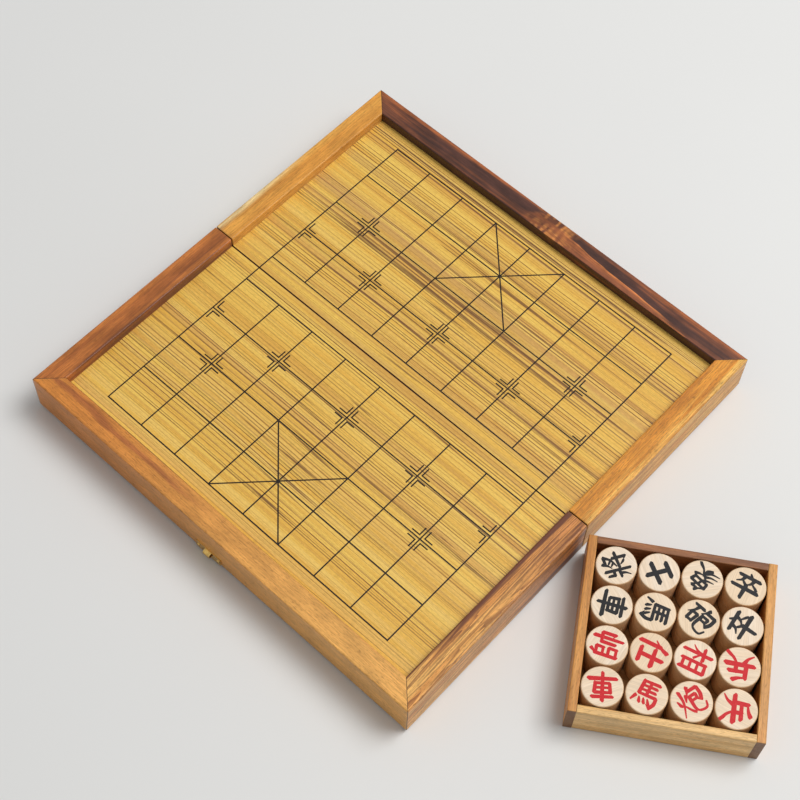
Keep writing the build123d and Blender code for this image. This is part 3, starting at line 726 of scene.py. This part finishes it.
# A sign is its brush's width and its strokes, in a square of 100 by 100. A stroke is its width at its start
# and end, as shares of the brush's, and the points that it bends smoothly through. A corner is two strokes.
# The wrapped part is the right half of both cannons' signs.
square = 100
wrapped = [
    (1, 0.3, (58, 99), (52, 83), (42, 70)), (0.9, 1, (54, 85), (90, 88)),
    (1, 1, (90, 88), (91, 62), (84, 43)), (0.9, 0.4, (84, 43), (74, 48)),
    (0.8, 0.9, (52, 67), (75, 69)), (0.9, 0.8, (75, 69), (74, 52)),
    (0.7, 0.8, (53, 51), (74, 53)), (1, 0.5, (51, 67), (50, 26), (60, 11), (86, 10), (95, 29))]
signs = {
    "black_general": (12.5, [
        (0.8, 1, (14, 88), (14, 66)), (0.8, 1, (12, 65), (32, 67)), (0.8, 1, (5, 44), (32, 46)),
        (1, 0.3, (18, 44), (16, 27), (6, 11)), (1, 0.9, (32, 95), (32, 6)),
        (1, 0.3, (62, 97), (54, 81), (42, 69)), (0.9, 1, (60, 87), (87, 88)),
        (1, 0.4, (87, 88), (72, 65), (46, 50)), (0.5, 1, (58, 77), (66, 70)), (0.5, 1, (50, 68), (58, 61)),
        (0.9, 1, (40, 41), (97, 45)), (1, 1, (78, 58), (78, 11)), (0.9, 0.3, (78, 11), (65, 19)),
        (0.5, 1, (52, 33), (61, 22))]),
    "black_advisor": (17.5, [
        (1, 1, (12, 61), (88, 67)), (1, 1, (50, 94), (50, 17)), (1, 1, (24, 15), (76, 18))]),
    "black_elephant": (12, [
        (1, 0.3, (44, 99), (36, 86), (20, 75)), (0.8, 1, (42, 89), (62, 91)), (1, 0.5, (62, 91), (54, 78)),
        (1, 0.9, (22, 74), (25, 54)), (0.8, 1, (22, 74), (79, 76)), (1, 0.9, (79, 76), (75, 55)),
        (0.8, 0.9, (25, 55), (76, 57)), (0.8, 0.8, (49, 76), (47, 56)),
        (1, 0.3, (46, 55), (32, 43), (12, 35)), (0.8, 1, (36, 48), (54, 35), (57, 16), (44, 5)),
        (1, 0.3, (48, 38), (33, 26), (10, 18)), (1, 0.3, (54, 27), (38, 12), (12, 3)),
        (1, 0.4, (84, 50), (72, 42), (60, 38)), (0.5, 1.2, (57, 40), (72, 20), (95, 9))]),
    "black_soldier": (15, [
        (0.6, 1, (48, 99), (55, 88)), (0.9, 1, (13, 83), (87, 87)), (1, 0.3, (34, 83), (28, 66), (12, 54)),
        (0.5, 1, (29, 68), (43, 56)), (1, 0.3, (68, 84), (62, 66), (48, 54)), (0.5, 1, (64, 68), (86, 54)),
        (0.9, 1.1, (4, 37), (96, 42)), (1.1, 0.9, (50, 52), (50, 1))]),
    "chariot": (13.5, [
        (0.9, 1, (16, 84), (84, 88)), (1, 0.9, (23, 70), (26, 37)), (0.8, 1, (23, 70), (77, 72)),
        (1, 0.9, (77, 72), (74, 37)), (0.7, 0.8, (26, 53), (74, 55)), (0.8, 0.9, (26, 37), (75, 39)),
        (1, 1.2, (4, 20), (96, 24)), (1.1, 0.9, (50, 99), (50, 1))]),
    "horse": (13, [
        (1, 1, (27, 92), (24, 44)), (0.8, 1, (27, 91), (80, 94)), (0.7, 0.9, (26, 75), (76, 78)),
        (0.7, 0.9, (25, 59), (76, 62)), (0.9, 0.9, (52, 93), (50, 44)), (0.8, 1, (22, 43), (84, 46)),
        (1, 1, (84, 46), (84, 24), (74, 5)), (0.9, 0.3, (74, 5), (61, 14)), (1, 0.5, (17, 31), (7, 10)),
        (0.6, 1, (31, 29), (35, 14)), (0.6, 1, (46, 30), (51, 16)), (0.6, 1, (60, 31), (67, 18))]),
    "black_cannon": (13.5, [
        (0.8, 1, (4, 84), (40, 87)), (1, 0.3, (21, 84), (16, 62), (3, 44)), (0.9, 0.9, (14, 55), (16, 22)),
        (0.8, 0.9, (14, 55), (37, 57)), (0.9, 0.8, (37, 57), (35, 23)), (0.8, 0.8, (16, 23), (36, 25)),
        *wrapped]),
    "red_general": (13.5, [
        (1, 0.4, (25, 99), (13, 84)), (1, 1, (12, 83), (12, 10)), (0.8, 1, (12, 81), (39, 83)),
        (0.9, 0.8, (39, 83), (38, 58)), (0.7, 0.8, (12, 58), (38, 60)), (0.8, 0.9, (12, 39), (41, 41)),
        (0.9, 0.8, (41, 41), (40, 13)), (0.8, 0.8, (12, 13), (41, 15)), (1, 0.9, (57, 72), (56, 24)),
        (0.8, 1, (57, 72), (91, 75)), (1, 1, (91, 75), (91, 30)), (0.8, 0.3, (91, 30), (80, 36)),
        (1.1, 0.8, (74, 99), (74, 1))]),
    "red_advisor": (16, [
        (1, 0.3, (33, 99), (22, 74), (3, 52)), (1, 1, (21, 72), (21, 1)), (0.9, 1.1, (36, 61), (98, 66)),
        (1, 1, (67, 95), (67, 16)), (0.9, 1, (44, 14), (94, 18))]),
    "red_elephant": (13.5, [
        (0.9, 1, (3, 69), (46, 73)), (1, 0.9, (25, 99), (25, 1)), (1, 0.3, (25, 69), (17, 46), (1, 28)),
        (0.5, 1, (28, 60), (44, 44)), (1, 0.9, (58, 90), (58, 6)), (0.8, 1, (58, 89), (91, 91)),
        (1, 1, (91, 91), (91, 6)), (0.7, 0.8, (58, 63), (90, 65)), (0.7, 0.8, (58, 38), (90, 40)),
        (0.8, 0.9, (58, 13), (91, 15))]),
    "red_soldier": (16, [
        (1, 0.4, (68, 99), (50, 90), (30, 86)), (1, 1, (28, 87), (28, 44)), (0.8, 1, (29, 65), (84, 69)),
        (1, 0.9, (62, 68), (62, 44)), (1, 1.2, (3, 39), (97, 44)), (1, 0.3, (36, 34), (26, 17), (7, 3)),
        (0.6, 1.2, (63, 36), (77, 18), (94, 5))]),
    "red_cannon": (13.5, [
        (0.5, 1, (6, 68), (11, 50)), (1, 0.4, (42, 74), (33, 55)), (1, 0.3, (25, 95), (23, 55), (3, 9)),
        (0.5, 1, (24, 43), (33, 27), (43, 14)), *wrapped])}

# How far each piece of the upper layer is turned, anticlockwise in degrees from the tray's own upright. The
# lower layer's are turned step by step.
turns = {
    "black_general": 115, "black_advisor_1": 115, "black_elephant_1": 140, "black_soldier_1": -24,
    "black_chariot_1": -98, "black_horse_1": -102, "black_cannon_1": -41, "black_soldier_2": 62,
    "red_general": 80, "red_advisor_1": -108, "red_elephant_1": -108, "red_soldier_1": 175,
    "red_chariot_1": -176, "red_horse_1": -18, "red_cannon_1": 38, "red_soldier_2": -95}
hidden_turn_step = 67


def smooth_line(points):
    """Points along a smooth line through the given ones. A line of two points stays straight."""
    if len(points) == 2:
        return points
    padded = [2 * points[0] - points[1], *points, 2 * points[-1] - points[-2]]
    line, steps = [], 6
    for p0, p1, p2, p3 in zip(padded, padded[1:], padded[2:], padded[3:]):
        for step in range(steps):
            t = step / steps
            line.append((2 * p1 + (p2 - p0) * t + (2 * p0 - 5 * p1 + 4 * p2 - p3) * t * t
                         + (3 * p1 - p0 - 3 * p2 + p3) * t ** 3) / 2)
    return [*line, points[-1]]


def nib(middle, width):
    """The brush's slanted print, flat with its corners cut, at one point of a stroke."""
    shape = [(1, 0.6), (0.75, 1), (-0.75, 1), (-1, 0.6), (-1, -0.6), (-0.75, -1), (0.75, -1), (1, -0.6)]
    corners = []
    for x, y in shape:
        x, y = x * nib_long, y * nib_wide
        turned = Vector((x * math.cos(nib_slant) - y * math.sin(nib_slant),
                         x * math.sin(nib_slant) + y * math.cos(nib_slant)))
        corners.append(middle + turned * width / 2)
    return corners


def sign_film(name, brush, strokes):
    """The paint of one sign, as a closed film about the middle of its square."""
    points, outlines = [], []
    for first, last, *stroke in strokes:
        line = smooth_line([Vector(p) for p in stroke])
        widths = [brush * (first + (last - first) * n / (len(line) - 1)) for n in range(len(line))]
        for start, end, width, next_width in zip(line, line[1:], widths, widths[1:]):
            prints = nib(start, width) + nib(end, next_width)
            outline = [prints[n] for n in convex_hull_2d(prints)]
            outlines.append(list(range(len(points), len(points) + len(outline))))
            points += outline
    inside_only, same_point = 1, 1e-5
    corners, _, faces, _, _, owners = delaunay_2d_cdt(points, [], outlines, inside_only, same_point)
    film = bmesh.new()
    scale, middle = mark_size / square, square / 2
    corners = [film.verts.new(((p.x - middle) * scale, (p.y - middle) * scale, -film_root))
               for p in corners]
    for face, owner in zip(faces, owners):
        if owner:
            film.faces.new([corners[n] for n in face])
    loose = [v for v in film.verts if not v.link_faces]
    bmesh.ops.delete(film, geom=loose, context="VERTS")
    nearly_straight = math.radians(1)
    bmesh.ops.dissolve_limit(film, angle_limit=nearly_straight, verts=film.verts[:], edges=film.edges[:])
    return closed_slab(name, film, film_rise + film_root)


def paint_finish(name, colour, thin):
    """Brush paint, a little uneven, which lets the wood through where it is thin."""
    finish, tree, shader = new_finish(name)
    uneven = noise(tree, local_place(tree, tray_middle, tray_turn), 900, 3)
    feed(tree, shader.inputs, {
        "Base Color": blend_colours(tree, ramp(tree, uneven, 0.5, 0.8), colour, thin),
        "Roughness": ramp(tree, uneven, 0.3, 0.7, 0.4, 0.6), "Specular IOR Level": 0.25})
    bump(tree, shader, uneven, depth=0.00002)
    return finish


paints = {"black": paint_finish("black_paint", tint(12, 12, 15), tint(44, 38, 36)),
          "red": paint_finish("red_paint", tint(202, 18, 30), tint(220, 74, 68))}
films = {key: sign_film(key, *sign) for key, sign in signs.items()}
for number, name in enumerate(piece_names):
    side, kind = name.split("_")[:2]
    film = films.get(f"{side}_{kind}") or films[kind]
    if film.materials and film.materials[0] != paints[side]:  # both sides have this sign
        film = film.copy()
        film.materials.clear()
    low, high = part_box(name)
    face_middle = Vector(((low.x + high.x) / 2, (low.y + high.y) / 2, high.z))
    turn = tray_turn + math.radians(turns.get(name, number * hidden_turn_step))
    where = Matrix.Translation(face_middle) @ Matrix.Rotation(turn, 4, "Z")
    show(f"sign_{name}", film, paints[side], name, where)


# ---- the table and the light -----------------------------------------------------------------------------
# A plain pale table under one large soft lamp, which hangs high, behind the board and to its right, with
# even light from all round. Far from the board the table fades into the room, which is as pale.
floor_half = 4.0
fade_from, fade_to = 0.35, 0.95
lamp_from_fold = Vector((0.7, 0.85, 2.1))
lamp_width, lamp_power = 1.3, 42
room_light, room_look = 0.35, 0.76  # what it sheds, and how pale it shows


def seen_ray(tree):
    """One for what is seen, straight, in a gloss or through a clear thing, and nothing for plain light."""
    ray = add(tree, "LightPath").outputs
    return maths(tree, "MAXIMUM", ray["Is Camera Ray"],
                 maths(tree, "MAXIMUM", ray["Is Glossy Ray"], ray["Is Transmission Ray"]))


def floor_finish():
    """A dull, faintly cloudy white that turns into the room's own tone with distance."""
    finish, tree, shader = new_finish("pale_table")
    place = local_place(tree)
    cloudy = noise(tree, place, 3, 2)
    feed(tree, shader.inputs, {
        "Base Color": blend_colours(tree, cloudy, tint(226, 226, 224), tint(232, 232, 230)),
        "Roughness": 0.9})
    away = ramp(tree, measure(tree, "LENGTH", place), fade_from, fade_to)
    faded = maths(tree, "MULTIPLY", away, seen_ray(tree))
    room_tone = add(tree, "Emission", {"Color": (1, 1, 1, 1), "Strength": room_look}).outputs[0]
    both = add(tree, "MixShader", {0: faded, 1: shader.outputs[0], 2: room_tone}).outputs[0]
    feed(tree, tree.nodes["Material Output"].inputs, {"Surface": both})
    return finish


floor_corners = [(x * floor_half, y * floor_half, 0) for x, y in ((-1, -1), (1, -1), (1, 1), (-1, 1))]
floor_mesh = bpy.data.meshes.new("table")
floor_mesh.from_pydata(floor_corners, [], [(0, 1, 2, 3)])
floor_mesh.materials.append(floor_finish())
floor = bpy.data.objects.new("table", floor_mesh)
bpy.context.scene.collection.objects.link(floor)

lamp = bpy.data.objects.new("lamp", bpy.data.lights.new("lamp", "AREA"))
lamp.data.size, lamp.data.energy = lamp_width, lamp_power
lamp.location = fold_middle + lamp_from_fold
lamp.rotation_euler = (-lamp_from_fold).to_track_quat("-Z", "Y").to_euler()
bpy.context.scene.collection.objects.link(lamp)

room = bpy.data.worlds.new("room")
room.use_nodes = True
bpy.context.scene.world = room
tree = room.node_tree
strength = maths(tree, "MULTIPLY_ADD", seen_ray(tree), room_look - room_light, room_light)
feed(tree, tree.nodes["Background"].inputs, {"Color": (1, 1, 1, 1), "Strength": strength})

bpy.context.scene.view_settings.view_transform = "Standard"
